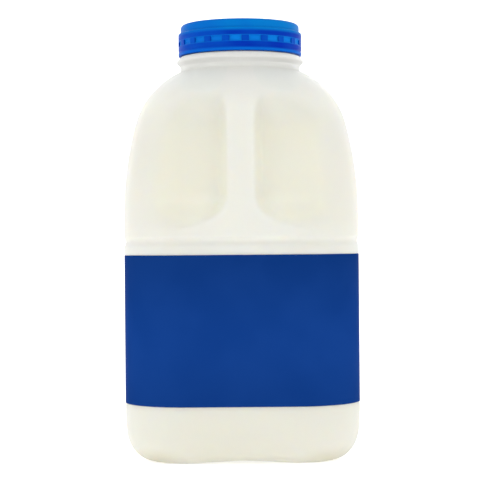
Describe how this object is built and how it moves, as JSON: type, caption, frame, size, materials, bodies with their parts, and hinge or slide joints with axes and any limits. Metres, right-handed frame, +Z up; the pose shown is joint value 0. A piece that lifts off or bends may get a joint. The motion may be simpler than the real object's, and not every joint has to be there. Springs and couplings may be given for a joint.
{
  "type": "milk bottle",
  "caption": "Square blown plastic milk bottle with a blind grip, a wrap-around label and a snap cap, filled with milk.",
  "frame": {"origin": "middle of the surface that the four feet stand on, under the bottle's upright axis", "axes": "+Z up along the bottle's axis, the front with the grip rib faces -Y, +X to the right seen from the front"},
  "size_m": [0.0766, 0.0766, 0.1438],
  "materials": {
    "bottle": "natural polyethylene, milky and translucent, satin with a fine blown grain",
    "milk": "whole milk, opaque warm white, wet and smooth",
    "label": "plain navy blue film, semi-gloss",
    "cap": "translucent blue polyethylene, moulded, semi-gloss"
  },
  "bodies": {
    "root": {"bottle": "bottle", "milk": "milk", "label": "label", "cap": "cap"}
  },
  "joints": []
}
